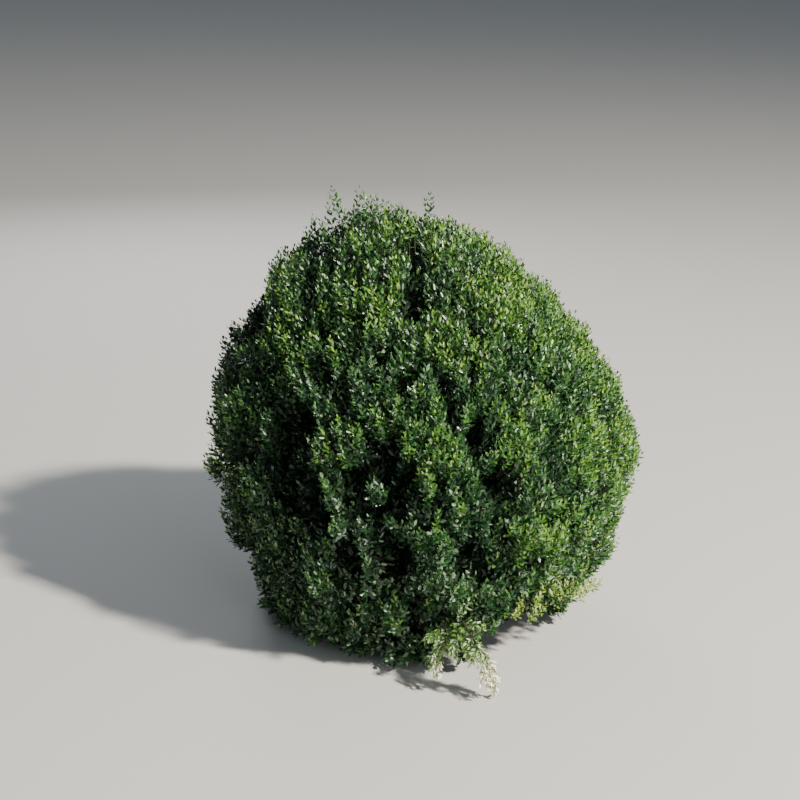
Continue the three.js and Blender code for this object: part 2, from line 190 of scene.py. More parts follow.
# Leaf colours. A shoot is one of these kinds, and its youngest pairs have the kind's paler tone.
# Worn leaves grow singly, among those of other kinds; their pale tone is partly wear and partly painted
# highlights that stand for glints.
GLOSSY = {"Roughness": 0.38, "Coat Weight": 0.2}
DULL = {"Roughness": 0.5, "Coat Weight": 0.05}
KINDS = {
    # colour of the blades and of the youngest pairs, leaf size, finish
    # the darkest kind is painted shade, on the older leaves inside the crown and deep in its gaps
    "inner_shade": ((20, 40, 20), (28, 54, 26), 1.35, GLOSSY),
    "deep": ((32, 62, 34), (46, 80, 40), 1.06, GLOSSY),
    "mid": ((46, 86, 40), (74, 116, 47), 1.0, GLOSSY),
    "fresh": ((74, 116, 38), (116, 154, 54), 0.95, GLOSSY),
    "yellow": ((122, 150, 56), (184, 204, 104), 0.72, GLOSSY),
    "pale": ((142, 166, 112), (190, 204, 156), 0.9, DULL),
    "bleached": ((234, 228, 192), (246, 242, 218), 0.9, DULL),
    # worn leaves, partly painted highlights: pale like glints, even in shade
    "worn": ((126, 148, 116), (126, 148, 116), 1.0, GLOSSY),
}
DARKEST_SHADE, DEEP, MID, FRESH, YELLOW, PALE, BLEACHED, WORN_GLINT = range(len(KINDS))
KIND_SIZES = np.array([size for _, _, size, _ in KINDS.values()])
YOUNG_PAIRS = 2
# more of them low down, as painted glints in the shade there
WORN_GLINT_LEAVES = {"share": 0.065, "more_low": 1.8, "seed": 91}

# Where each kind grows. Freshness comes from the sun, in wide drifts and fine ones, and by chance. The
# sun's part is partly more fresh growth on the sunward side and partly painted light: lighter leaves on
# the side the light falls on, darker ones on the far side.
FRESHNESS = {"sun": 0.36, "drift": 0.55, "fine": 0.35, "chance": 0.45}
SUNWARD = (0.75, -0.25, 0.55)
DRIFT = {"scale": 2.6, "shift": (3.1, 7.7, 1.3), "fine_scale": 9.0}
FRESH_FROM = 0.42
MID_FROM = -0.12
# Painted shade: leaves sunk this far into the gaps are a kind darker, and the deepest are of the darkest
# kind
SHADE_DARK_FROM = (52, 82)  # how far below the outermost tufts leaves are darker, and darkest
SHADE_DARK_LATER = 0.7  # deeper by this share where it is loose
# Tufts that stand out where the crown is loose are fresh, and their lighter colour is also painted light
# on what stands out of the shade
FRESH_LIT_TUFTS = {"loose": 0.4, "sunk": 14, "share": 0.75}  # fresh tufts that stand out where it is loose
LOOSE_SPRAYS = {"share": 0.4, "out": 35}  # of the yellow shoots
PATCH_EDGE = 0.35  # how uneven it is
PATCHES = [
    # kind, middle, half sizes, share of the shoots inside, seed
    (YELLOW, (545, -110, 215), (70, 85, 50), 0.6, 61),
    (YELLOW, (470, -270, 205), (80, 95, 55), 0.7, 62),
    (YELLOW, (365, -420, 270), (85, 60, 65), 0.5, 63),
    (YELLOW, (300, -420, 200), (85, 80, 45), 0.7, 66),
    (FRESH, (210, -215, 1085), (115, 125, 80), 0.65, 67),
    (FRESH, (-10, -130, 1210), (110, 110, 70), 0.7, 68),
    (FRESH, (560, -270, 670), (90, 140, 150), 0.55, 69),
    (FRESH, (475, -95, 878), (70, 110, 70), 0.5, 73),
    (FRESH, (400, -480, 420), (150, 120, 130), 0.45, 70),
    (DEEP, (250, -400, 890), (190, 130, 110), 0.45, 72),
    # pale leaves here are painted highlights, standing for glints on the crown's edge above the spray
    (PALE, (120, -520, 240), (90, 90, 90), 0.1, 64),
    (PALE, (-142, -440, 130), (70, 80, 60), 0.25, 65),
]

# The pale spray that hangs out low at the front
HANGING = {
    "azimuth": TIERS[0]["turn"] + (360 / TIERS[0]["count"]) * 5.5,
    "foot": 62, "lift": 4, "radius": 8.5,
    "end_radius": 395, "end_height": 150, "end_lift": 22,
    "stiffness": 90, "crest_radius": 590, "crest_height": 235,
    "tip": (206, -588, 40), "tip_thickness": 2.4,
}
HANGING_MESH = {"sides": 10, "steps": 36, "relief": 0.5}
STRANDS = [
    # where each leaves the spray's stem, and its end
    (0.7, (224, -583, 22)),
    (0.62, (194, -598, 66)),
    (0.74, (216, -570, 78)),
    (0.5, (150, -592, 112)),
    (0.36, (96, -566, 132)),
    (0.2, (58, -558, 56)),
    (0.22, (48, -562, 72)),
    (0.12, (44, -548, 104)),
    (0.06, (30, -535, 160)),
]

# Its short twigs along the stem, the side twigs of each strand, and its leaves. A pair of numbers is
# a least value and what chance adds to it.
SPRAY_SEED = 70
SHORT_TWIGS = {"count": 38, "from": 0.1, "to": 0.95, "turn": 85, "length": (18, 22), "rise": (28, -56)}
SIDE_TWIGS = {"count": 10, "from": 0.3, "to": 0.96, "length": (9, 11), "drop": (12, 16)}
SPRAY_TWIG = {"radius": 1.0, "tip": 0.5, "sides": 4, "steps": 6}
SPRAY_DROOP = np.array([0.75, 0.75, 0.3])  # how far along a twig its bend is, in x, y and z
SPRAY_LEAF = {"size": 0.92, "uneven": 0.1, "narrow": 0.8, "length": (1, -0.2)}
SPRAY_SAG = {"sway": 0.3, "down": (-0.2, -0.5)}
FADING = {"aside": 0.3, "aside_from": 120, "uneven": 26, "bleached_to": 98, "pale_to": 152}

# Materials: the values of their nodes' sockets, and colours from 0 to 255
LEAF_LOOK = {
    "gloss": {"Specular IOR Level": 0.5, "Coat Roughness": 0.18},
    "grain": {"Scale": 260, "Detail": 2},
    "bump": {"Strength": 0.35, "Distance": 0.0012},
}
TWIG_LOOKS = {
    "twig_bark": ((60, 56, 38), {"Roughness": 0.8, "Coat Weight": 0}),
    "shoot_bark": ((62, 72, 38), {"Roughness": 0.6, "Coat Weight": 0}),
}
BARK_LOOK = {
    "streaks": {"Scale": (1, 1, 0.35)},
    "grain": {"Scale": 90, "Detail": 6, "Roughness": 0.65},
    "tones": {0.34: (82, 72, 56), 0.66: (150, 136, 110)},
    "rough": {"To Min": 0.75, "To Max": 0.95},
    "bump": {"Strength": 0.6, "Distance": 0.003},
}
FLOOR = {"half_size": 60.0, "colour": (196, 192, 186), "roughness": 0.9}

# Light and view
CROWN_MIDDLE = (0, 0, 0.6)
LIGHTS = [
    # name, place, target, size, power, colour
    ("key", (7.25, -4.9, 8.5), CROWN_MIDDLE, 0.8, 3800, (1.0, 0.96, 0.88)),
    ("fill", (2.2, -3.9, 0.9), (0.1, -0.2, 0.35), 1.8, 62, (0.88, 0.94, 1.0)),
    ("back", (-1.8, 5.1, 3.3), CROWN_MIDDLE, 2.5, 140, (0.9, 0.95, 1.0)),
]
SKY = {"Color": (0.72, 0.85, 1.0, 1), "Strength": 0.24}
CAMERA = {"place": (-0.063, -4.219, 2.06), "sensor": 36, "lens": 67.5, "down": 18.3, "roll": 1.6}

GOLDEN_ANGLE = math.pi * (3 - math.sqrt(5))
UP = np.array([0.0, 0.0, 1.0])
ACROSS = np.array([1.0, 0.0, 0.0])
STEEP = 0.8  # the sides of steeper limbs are reckoned from ACROSS, not from UP
HEART = np.array([0.0, 0.0, HEART_HEIGHT])


# Numbers and directions


def unit(vectors):
    return vectors / np.maximum(np.linalg.norm(vectors, axis=-1, keepdims=True), 1e-12)


def chance(seed, index):
    """The source's seeded number from 0 to 1 for each whole number. Each use has its own seed."""
    mask = np.uint64(0xFFFFFFFF)
    index = np.asarray(index).astype(np.uint64)
    first = np.uint64(seed * 0x9E3779B1 & 0xFFFFFFFF)
    h = first ^ ((index + np.uint64(1)) * np.uint64(0x85EBCA6B) & mask)
    h = (h ^ (h >> np.uint64(15))) * np.uint64(0x2C1B3C6D) & mask
    h = (h ^ (h >> np.uint64(12))) * np.uint64(0x297A2D39) & mask
    return (h ^ (h >> np.uint64(15))).astype(float) / 2**32


def swing(seed, index):
    """A seeded number from -1 to 1 for each whole number."""
    return 2 * chance(seed, index) - 1


def dealt(least_and_more, seed, index):
    """A least value plus a seeded share of what chance may add."""
    least, more = least_and_more
    return least + more * chance(seed, index)


def heading(azimuth, elevation):
    turn = math.radians(azimuth)
    rise = math.radians(elevation)
    level = math.cos(rise)
    return np.array([math.cos(turn) * level, math.sin(turn) * level, math.sin(rise)])


def nearest(points, others, block=2000):
    """Which of the others is nearest to each point, and how far away it is."""
    found = []
    for start in range(0, len(points), block):
        gaps = np.linalg.norm(points[start : start + block, None] - others[None], axis=2)
        found.append((gaps.argmin(axis=1), gaps.min(axis=1)))
    which, gaps = zip(*found)
    return np.concatenate(which), np.concatenate(gaps)


def pick(table, chosen):
    """The chosen rows of a table of equally long arrays."""
    return {name: values[chosen] for name, values in table.items()}


def joined(tables):
    """Tables of the same names as one."""
    return {name: np.concatenate([table[name] for table in tables]) for name in tables[0]}


# The crown's outline, and how it is shared out among the masses


def outline_radius(z):
    above = np.clip((z - WIDEST_HEIGHT) / (CROWN_HEIGHT - WIDEST_HEIGHT), 0, 1)
    below = np.clip((WIDEST_HEIGHT - z) / WIDEST_HEIGHT, 0, 1)
    dome = np.sqrt(1 - above**TOP_POWER)
    skirt = 1 - (1 - FOOT_SHARE) * below**FOOT_POWER
    return CROWN_WIDTH / 2 * dome * skirt


def axis_x(z):
    return TOP_LEAN * np.clip((z - WIDEST_HEIGHT) / (CROWN_HEIGHT - WIDEST_HEIGHT), 0, 1)


def reach(directions):
    """How far the crown reaches from its heart in each direction."""
    near = np.zeros(len(directions))
    far = np.full(len(directions), float(CROWN_HEIGHT))
    for _ in range(REACH_HALVINGS):
        middle = (near + far) / 2
        x, y, z = (HEART + directions * middle[:, None]).T
        outside = (z > CROWN_HEIGHT) | (np.hypot(x - axis_x(z), y) > outline_radius(z))
        far = np.where(outside, middle, far)
        near = np.where(outside, near, middle)
    return near


def plan_masses():
    """The masses of foliage, each with the walls between it and the others."""
    masses = []
    for tier in TIERS:
        for i in range(tier["count"]):
            azimuth = tier["turn"] + 360 / tier["count"] * i
            masses.append({
                "name": f"{tier['name']}_{i + 1}" if tier["count"] > 1 else tier["name"],
                "azimuth": azimuth,
                "foot": tier["foot"] + BOUGH["stagger"] * (i % 2),
                "lift": tier["lift"],
                "radius": tier["radius"],
                "heading": heading(azimuth, tier["elevation"]),
            })
    for mass in masses:
        others = [other["heading"] for other in masses if other is not mass]
        mass["walls"] = unit(mass["heading"] - np.array(others))
    return masses


def wall_room(mass, points):
    return ((points - HEART) @ mass["walls"].T).min(axis=1)


def is_bare(points):
    """True inside the hollow round the boughs, where nothing leafy grows."""
    out = points - HEART
    height = np.clip(points[:, 2] / HEART_HEIGHT, 0, 1)
    hollow = BARE["radius"] * (BARE["foot_share"] + (1 - BARE["foot_share"]) * height)
    distance = np.linalg.norm(out, axis=1)
    level = np.hypot(out[:, 0], out[:, 1])
    return np.where(points[:, 2] > HEART_HEIGHT, distance, level) < hollow


def spiral_directions(order):
    """The directions of one order of twigs, over the whole sphere."""
    count = order["count"]
    index = np.arange(count)
    spacing = math.sqrt(4 * math.pi / count)
    up = 1 - (2 * index + 1) / count
    turn = index * GOLDEN_ANGLE + order["seed"]
    level = np.sqrt(1 - up * up)
    directions = np.stack([np.cos(turn) * level, np.sin(turn) * level, up], axis=1)
    for n in range(3):
        directions[:, n] += swing(order["seed"], 3 * index + n) * JITTER * spacing
    return unit(directions)


def droop_share(directions):
    """How much further the low twigs reach, where they droop."""
    return DROOP["share"] * np.maximum(0, -directions[:, 2] - DROOP["from"])


def skirt_distance(directions):
    """How far the crown's lower edge is from its heart in each direction."""
    return (SKIRT_HEIGHT - HEART_HEIGHT) / np.minimum(directions[:, 2], -1e-6)


def ends_at(directions, distance):
    return {"directions": directions, "points": HEART + directions * distance[:, None]}


def spiral_ends(order):
    """The ends of one order of twigs, over the whole sphere."""
    directions = spiral_directions(order)
    distance = (order["share"] + droop_share(directions)) * reach(directions)
    return ends_at(directions, np.minimum(distance, skirt_distance(directions)))


# Curves, limbs and leaves as arrays of points and triangles


def curve_points(curves, t):
    """Points of quadratic curves, an array of (start, bend, end), at one t or at one each."""
    t = np.asarray(t, float)[..., None]
    a, b, c = curves[..., 0, :], curves[..., 1, :], curves[..., 2, :]
    return (1 - t) ** 2 * a + 2 * t * (1 - t) * b + t**2 * c


def curve_tangents(curves, t):
    t = np.asarray(t, float)[..., None]
    a, b, c = curves[..., 0, :], curves[..., 1, :], curves[..., 2, :]
    return unit(2 * (1 - t) * (b - a) + 2 * t * (c - b) + 1e-9 * UP)


def cubic(start, pull, push, end, t):
    t = np.asarray(t, float)[:, None]
    return (1 - t) ** 3 * start + 3 * t * (1 - t) ** 2 * pull + 3 * t * t * (1 - t) * push + t**3 * end


def bent_curves(roots, ends, directions, upward=UPWARD_PULL):
    """Twigs bent to stand outward and a little upward."""
    lean = directions * OUTWARD_PULL + UP * upward
    span = np.linalg.norm(roots - ends, axis=1, keepdims=True)
    return np.stack([roots, ends - lean * span, ends], axis=1)


def twig_curves(mass, roots, ends, directions):
    """The source's twig: bent, or straight near a wall. The finer orders lean over the walls."""
    bent = bent_curves(roots, ends, directions)
    straight = np.stack([roots, (roots + ends) / 2, ends], axis=1)
    has_room = wall_room(mass, curve_points(bent, 0.5)) > BRANCH_ROOM
    return np.where(has_room[:, None, None], bent, straight)


def tube_faces(sides, rings):
    """The triangles of a tube of rings that ends in one point."""
    faces = []
    for ring in range(rings - 1):
        for i in range(sides):
            a, b = ring * sides + i, ring * sides + (i + 1) % sides
            c, d = a + sides, b + sides
            faces += [(a, b, d), (a, d, c)]
    last = (rings - 1) * sides
    faces += [(last + i, last + (i + 1) % sides, last + sides) for i in range(sides)]
    return np.array(faces)


def limb_mesh(curves, limb):
    """Tapering tubes round many curves as one array of points and triangles."""
    sides, steps = limb["sides"], limb["steps"]
    overall = unit(curves[:, 2] - curves[:, 0])
    reference = np.where(np.abs(overall[:, 2:]) > STEEP, ACROSS, UP)
    angles = np.arange(sides) * 2 * math.pi / sides
    cosines, sines = np.cos(angles)[:, None], np.sin(angles)[:, None]
    rings = []
    for step in range(steps):
        share = step / steps
        tangent = curve_tangents(curves, share)
        side = unit(np.cross(tangent, reference))
        front = np.cross(side, tangent)
        radius = limb["radius"] * (1 - share) + limb["tip"] * share
        spokes = cosines * side[:, None] + sines * front[:, None]
        rings.append(curve_points(curves, share)[:, None] + spokes * radius)
    points = np.concatenate([*rings, curves[:, 2:]], axis=1)
    offsets = (np.arange(len(curves)) * points.shape[1])[:, None, None]
    return points.reshape(-1, 3), (tube_faces(sides, steps)[None] + offsets).reshape(-1, 3)


def merge(parts):
    """Several (points, faces) as one."""
    starts = np.cumsum([0] + [len(points) for points, _ in parts[:-1]])
    points = np.concatenate([points for points, _ in parts])
    faces = np.concatenate([faces + start for (_, faces), start in zip(parts, starts)])
    return points, faces


def leaf_mesh(leaves):
    """Leaves of four faces as one array of points and triangles."""
    side = unit(np.cross(leaves["axis"], leaves["normal"]))
    normal = np.cross(side, leaves["axis"])
    length = leaves["length"][:, None, None]
    width = leaves["width"][:, None, None]
    across, along, up = LEAF_POINTS.T[:, None, :, None]
    points = leaves["root"][:, None] + across * side[:, None] * width
    points = points + along * leaves["axis"][:, None] * length + up * normal[:, None] * length
    offsets = (np.arange(len(points)) * len(LEAF_POINTS))[:, None, None]
    return points.reshape(-1, 3), (LEAF_FACES[None] + offsets).reshape(-1, 3)


def turned(vectors, axes, angles):
    """Vectors turned about unit axes."""
    c, s = np.cos(angles)[:, None], np.sin(angles)[:, None]
    along = (vectors * axes).sum(axis=1, keepdims=True)
    return vectors * c + np.cross(axes, vectors) * s + axes * along * (1 - c)


def leaf_frames(tangent, turn, spread, twist):
    """Which way leaves point and face, turned round their shoots and spread from them."""
    flat = unit(np.cross(tangent, np.where(np.abs(tangent[:, 2:]) > LEAF["steep"], ACROSS, UP)))
    sideways = turned(flat, tangent, turn)
    axis = tangent * np.cos(spread) + sideways * np.sin(spread)
    normal = unit(tangent * np.sin(spread) - sideways * np.cos(spread) + LEAF["face_up"] * UP)
    return axis, turned(normal, axis, twist)


def grow_leaves(curves, index, size, pairs, seed, narrow=1.0):
    """Crossed pairs of leaves from the tips of shoots down, each leaf with its shoot and row."""
    span = np.linalg.norm(curves[:, 2] - curves[:, 0], axis=1)
    groups = []
    for row, (pair_size, pair_spread) in enumerate(pairs):
        for half in range(2):
            key = (index * len(pairs) + row) * 2 + half
            from_tip = (LEAF["first"] + LEAF["step"] * row) * size
            t = np.clip(1 - from_tip / span, 0, 1)
            turn = row * math.pi / 2 + chance(seed + 5, index) * math.pi + half * math.pi
            turn = turn + swing(seed + 6, key) * LEAF_UNEVEN["turn"]
            spread = np.radians(pair_spread + LEAF_UNEVEN["spread"] * swing(seed + 7, key))[:, None]
            twist = LEAF_UNEVEN["twist"] * swing(seed + 8, key)
            axis, normal = leaf_frames(curve_tangents(curves, t), turn, spread, twist)
            uneven = 1 + LEAF_UNEVEN["length"] * swing(seed + 9, key)
            length = LEAF["length"] * pair_size * size * uneven
            group = {
                "root": curve_points(curves, t),
                "axis": axis,
                "normal": normal,
                "length": length,
                "width": length * LEAF["width"] * narrow,
                "shoot": np.arange(len(curves)),
                "row": np.full(len(curves), row),
            }
            groups.append(pick(group, from_tip < span * LEAF["last"]))
    return joined(groups)


def leaf_tips(leaves):
    return leaves["root"] + leaves["axis"] * leaves["length"][:, None]


def above_ground(leaves):
    return (leaf_tips(leaves)[:, 2] > GROUND_GAP) & (leaves["root"][:, 2] > GROUND_GAP)


# Materials


def linear(red, green, blue):
    """A colour from 0 to 255 as Blender's linear numbers."""
    shares = np.array([red, green, blue]) / 255
    return tuple(np.where(shares <= 0.04045, shares / 12.92, ((shares + 0.055) / 1.055) ** 2.4)) + (1.0,)


def set_inputs(node, values):
    for name, value in values.items():
        node.inputs[name].default_value = value


def add_node(tree, kind, values):
    node = tree.nodes.new(f"ShaderNode{kind}")
    set_inputs(node, values)
    return node


def link(tree, source, output, target, socket):
    tree.links.new(source.outputs[output], target.inputs[socket])


def principled(name):
    material = bpy.data.materials.new(name)
    material.use_nodes = True
    tree = material.node_tree
    return material, tree, tree.nodes["Principled BSDF"]


def leaf_material(name, colour, finish):
    """A leaf or a twig: one plain colour, as sprays are dealt out among these, finely uneven."""
    material, tree, shader = principled(name)
    set_inputs(shader, {"Base Color": linear(*colour), **finish, **LEAF_LOOK["gloss"]})
    place = add_node(tree, "TexCoord", {})
    grain = add_node(tree, "TexNoise", LEAF_LOOK["grain"])
    bump = add_node(tree, "Bump", LEAF_LOOK["bump"])
    link(tree, place, "Object", grain, "Vector")
    link(tree, grain, "Fac", bump, "Height")
    link(tree, bump, "Normal", shader, "Normal")
    return material


def bark_material(name):
    """Bark: two tones in streaks along the limb, rougher where it is paler."""
    material, tree, shader = principled(name)
    place = add_node(tree, "TexCoord", {})
    streaks = add_node(tree, "Mapping", BARK_LOOK["streaks"])
    grain = add_node(tree, "TexNoise", BARK_LOOK["grain"])
    tones = add_node(tree, "ValToRGB", {})
    for element, (position, colour) in zip(tones.color_ramp.elements, BARK_LOOK["tones"].items()):
        element.position = position
        element.color = linear(*colour)
    rough = add_node(tree, "MapRange", BARK_LOOK["rough"])
    bump = add_node(tree, "Bump", BARK_LOOK["bump"])
    link(tree, place, "Object", streaks, "Vector")
    link(tree, streaks, "Vector", grain, "Vector")
    for target, socket in ((tones, "Fac"), (rough, "Value"), (bump, "Height")):
        link(tree, grain, "Fac", target, socket)
    link(tree, tones, "Color", shader, "Base Color")
    link(tree, rough, "Result", shader, "Roughness")
    link(tree, bump, "Normal", shader, "Normal")
    return material


def make_leaf_materials():
    """Two materials for each kind in turn, for its blades and for its youngest leaves."""
    made = []
    for name, (blade, tip, _, finish) in KINDS.items():
        made.append(leaf_material(f"{name}_blade", blade, finish))
        made.append(leaf_material(f"{name}_tip", tip, finish))
    return made


LEAVES = make_leaf_materials()
BARK = bark_material("box_bark")
TWIG_BARKS = [leaf_material(name, *look) for name, look in TWIG_LOOKS.items()]


def add_piece(name, points, faces, materials, slots=None):
    """A mesh in metres from arrays of points and triangles in millimetres, riding on the root body."""
    mesh = bpy.data.meshes.new(name)
    mesh.vertices.add(len(points))
    mesh.vertices.foreach_set("co", (points * METRES).astype(np.float32).ravel())
    mesh.loops.add(len(faces) * 3)
    mesh.loops.foreach_set("vertex_index", faces.astype(np.int32).ravel())
    mesh.polygons.add(len(faces))
    mesh.polygons.foreach_set("loop_start", np.arange(0, 3 * len(faces), 3, dtype=np.int32))
    if slots is not None:
        worn, slots = np.unique(slots, return_inverse=True)
        materials = [materials[i] for i in worn]
        mesh.polygons.foreach_set("material_index", slots.astype(np.int32))
    mesh.polygons.foreach_set("use_smooth", np.ones(len(faces), bool))
    for material in materials:
        mesh.materials.append(material)
    mesh.update(calc_edges=True)
    mesh.validate()
    piece = bpy.data.objects.new(name, mesh)
    bpy.context.scene.collection.objects.link(piece)
    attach(piece, "root")
    return piece


# Trunk and boughs


def trunk_shift(z):
    return TRUNK_LEAN * (z / TRUNK_HEIGHT) ** 2


def fissures(point, plate):
    """The bark's relief at a point, about -1 to 1, for plates of this size."""
    stretched = Vector((point[0], point[1], point[2] * FISSURES["stretch"])) / plate
    cells = noise.voronoi(stretched)[0]
    crack = min(1.0, (cells[1] - cells[0]) * FISSURES["crack"])
    fine = FISSURES["fine"] * noise.noise(stretched * FISSURES["fine_scale"])
    return FISSURES["height"] * crack - FISSURES["floor"] + fine


def ringed(rings):
    """Rings of points as (points, faces), with the last ring drawn to its middle."""
    points = np.vstack([rings.reshape(-1, 3), rings[-1].mean(axis=0)])
    return points, tube_faces(rings.shape[1], len(rings))


def trunk_ring(z, angles):
    """The trunk's ring of points at a height, with its lobes and its bark."""
    flare = math.exp(-z / FLARE["height"])
    lobe = 1 + FLARE["lobe"] * flare * np.cos(FLARE["roots"] * angles)
    taper = 1 - (1 - TRUNK_TAPER) * z / TRUNK_HEIGHT
    radius = (TRUNK_RADIUS * taper + FLARE["rise"] * flare) * lobe
    shoulder = np.clip((z - TRUNK_HEIGHT + TRUNK_TOP["height"]) / TRUNK_TOP["height"], 0, 1)
    radius = radius * (1 - TRUNK_TOP["rounding"] * shoulder**2)
    ring = np.stack([np.cos(angles) * radius, np.sin(angles) * radius, np.full(len(angles), z)], axis=1)
    bumps = np.array([fissures(p, TRUNK_MESH["plate"]) for p in ring])
    relief = TRUNK_MESH["relief"]
    ring[:, :2] *= (1 + (bumps * relief - relief) / radius)[:, None]
    ring[:, 0] += trunk_shift(z)
    return ring


def trunk_mesh():
    sides, steps = TRUNK_MESH["sides"], TRUNK_MESH["steps"]
    angles = np.arange(sides) * 2 * math.pi / sides
    rings = [trunk_ring(TRUNK_HEIGHT * k / steps, angles) for k in range(steps + 1)]
    base = rings[0].mean(axis=0)
    rings.insert(0, np.tile(base, (sides, 1)) + (rings[0] - base) * TRUNK_MESH["middle"])
    return ringed(np.array(rings))


def plan_bough(limb, tip, tip_heading):
    """A bough's curve from inside the trunk to its tip."""
    start = np.array([trunk_shift(limb["foot"]), 0.0, limb["foot"]])
    span = np.linalg.norm(tip - start)
    pull = start + heading(limb["azimuth"], limb["lift"]) * span * BOUGH["start_pull"]
    push = tip - tip_heading * span * BOUGH["end_pull"]
    return {
        "curve": (start, pull, push, tip),
        "radius": limb["radius"],
        "tip": tip,
        "tip_heading": tip_heading,
        "tip_radius": limb["radius"] * BOUGH["taper"],
    }


def bough_mesh(bough, sides, steps, relief):
    """A bough along its curve, with a collar where it leaves the trunk."""
    t = np.linspace(0, 1, steps + 1)
    middles = cubic(*bough["curve"], t)
    tangents = unit(np.gradient(middles, axis=0))
    reference = UP if abs(unit(middles[-1] - middles[0])[2]) < STEEP else ACROSS
    angles = np.arange(sides) * 2 * math.pi / sides
    rings = []
    for share, middle, tangent in zip(t, middles, tangents):
        side = unit(np.cross(tangent, reference))
        front = np.cross(side, tangent)
        radius = bough["radius"] * (1 - share) + bough["tip_radius"] * share
        from_trunk = max(0.0, math.hypot(middle[0], middle[1]) - TRUNK_RADIUS)
        radius *= 1 + COLLAR["swell"] * math.exp(-from_trunk / COLLAR["length"])
        spokes = np.cos(angles)[:, None] * side + np.sin(angles)[:, None] * front
        bumps = np.array([fissures(p, BOUGH_BARK["plate"]) for p in middle + spokes * radius])
        barked = radius + relief * (bumps - 1) * radius / BOUGH_BARK["full_radius"]
        rings.append(middle + spokes * barked[:, None])
    return ringed(np.array(rings))


def grow_wood(masses):
    """The trunk's and the boughs' pieces. Masses keep their boughs, and the spray's is returned."""
    for mass in masses:
        tip = HEART + mass["heading"] * BOUGH["reach"]
        mass["bough"] = plan_bough(mass, tip, mass["heading"])
    tip = heading(HANGING["azimuth"], 0) * HANGING["end_radius"] + UP * HANGING["end_height"]
    hanging = plan_bough(HANGING, tip, heading(HANGING["azimuth"], HANGING["end_lift"]))
    trunk = add_piece("trunk_bark", *trunk_mesh(), [BARK])
    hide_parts("trunk")
    names = [f"bough_{mass['name']}" for mass in masses] + ["bough_hanging_spray"]
    meshes = [bough_mesh(bough, **BOUGH_MESH) for bough in [mass["bough"] for mass in masses] + [hanging]]
    boughs = add_piece("boughs_bark", *merge(meshes), [BARK])
    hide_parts(*names)
    return hanging


# The clipped surface: where shoots end, and of which kind they are


def openness(directions):
    """From 0 on the dense side of the crown to 1 on its open side."""
    towards = unit(np.array(OPEN_SIDE["towards"]))
    return np.clip((directions @ towards - OPEN_SIDE["from"]) / OPEN_SIDE["span"], 0, 1)


def lowness(points):
    """From 0 in the crown's upper half to 1 low down."""
    return np.clip((LOW["height"] - points[:, 2]) / LOW["span"], 0, 1)


def looseness(ends):
    """From 0 where the clipped surface is tight to 1 where tufts stand out of it."""
    return np.maximum(LOW["share"] * lowness(ends["points"]), openness(ends["directions"]))


def scattered_gaps(ends):
    """Depths of the gaps that lie by chance all over the crown, wider on its open side."""
    points = ends["points"]
    open_share = openness(ends["directions"])
    depths = np.zeros(len(points))
    for gap in GAPS:
        places = [Vector((x, y, GAP_NOISE["flat"] * z)) / gap["size"] for x, y, z in points]
        coarse = np.array([noise.noise(p) for p in places])
        fine = np.array([noise.noise(p * GAP_NOISE["fine_scale"]) for p in places])
        values = coarse + GAP_NOISE["fine"] * fine
        share = np.clip((values - gap["level"] + gap["lower"] * open_share) / gap["edge"], 0, 1)
        depths = np.maximum(depths, gap["depth"] * share)
    return depths


def placed_hollows(points):
    """Depths of the hollows that the photograph shows."""
    depths = np.zeros(len(points))
    for middle, across, up, depth in HOLLOWS:
        out = points - np.array(middle)
        sideways = out @ unit(np.array([-middle[1], middle[0], 0.0]))
        along = np.sqrt(np.maximum((out**2).sum(axis=1) - sideways**2, 0))
        share = (HOLLOW_EDGE["to"] - np.hypot(sideways / across, along / up)) / HOLLOW_EDGE["width"]
        depths = np.maximum(depths, depth * np.clip(share, 0, 1))
    return depths


def gap_depths(ends):
    """How far the crown's surface sinks at each end into the gaps among its lumps."""
    return np.maximum(scattered_gaps(ends), placed_hollows(ends["points"]))


def sunk_by(ends, depths):
    """The ends, drawn back towards the heart."""
    return {**ends, "points": ends["points"] - ends["directions"] * depths[:, None]}


def dome_drop(dome, ends, tops):
    """How far each end lies below the dome round the nearest bigger twig's."""
    flat = np.array([1, 1, dome["flat"]])
    spacing = DOME_EDGE["crown_radius"] * math.sqrt(4 * math.pi / dome["order"]["count"])
    which, gap = nearest(ends["points"] * flat, tops["points"] * flat)
    deeper = 1 + OPEN_SIDE["deeper"] * openness(ends["directions"])
    share = np.clip(gap / (DOME_EDGE["share"] * spacing), 0, DOME_EDGE["most"])
    fall = dome["depth"] * deeper * share**2
    uneven = 1 + LOW["uneven"] * looseness(ends)
    lower = uneven * chance(dome["order"]["seed"] + 9, which) - (uneven - 1) * LOW["out"]
    return fall + dome["uneven"] * lower


def shoot_ends(twigs, twiglets):
    """The ends of the shoots, and how deep in a gap each is: lumps round the bigger twigs' ends."""
    directions = spiral_directions(SHOOT)
    reaches = reach(directions)
    to_skirt = skirt_distance(directions)
    surface = ends_at(directions, np.minimum(reaches * SURFACE_SHARE, to_skirt))
    sunk = gap_depths(surface)
    for dome, tops in zip(DOMES, (twigs, twiglets)):
        sunk = sunk + dome_drop(dome, surface, tops)
    x, _, z = directions.T
    share = SHOOT["share"] - TOP_TRIM * np.maximum(z, 0) + SIDE_GROWTH * x**2
    distance = share * reaches - sunk
    distance = distance - END_SCATTER * chance(SHOOT["seed"] + 1, np.arange(len(distance)))
    distance = np.minimum(distance + droop_share(directions) * reaches, to_skirt)
    return ends_at(directions, distance), sunk


def is_lifted(points):
    """True where the crown's edge stands clear of the ground."""
    turn = np.degrees(np.arctan2(points[:, 1], points[:, 0]))
    beside = 1 - np.abs(turn - LIFTED["turn"]) / LIFTED["width"]
    return points[:, 2] < LIFTED["height"] * np.clip(LIFTED["steep"] * beside, 0, 1)


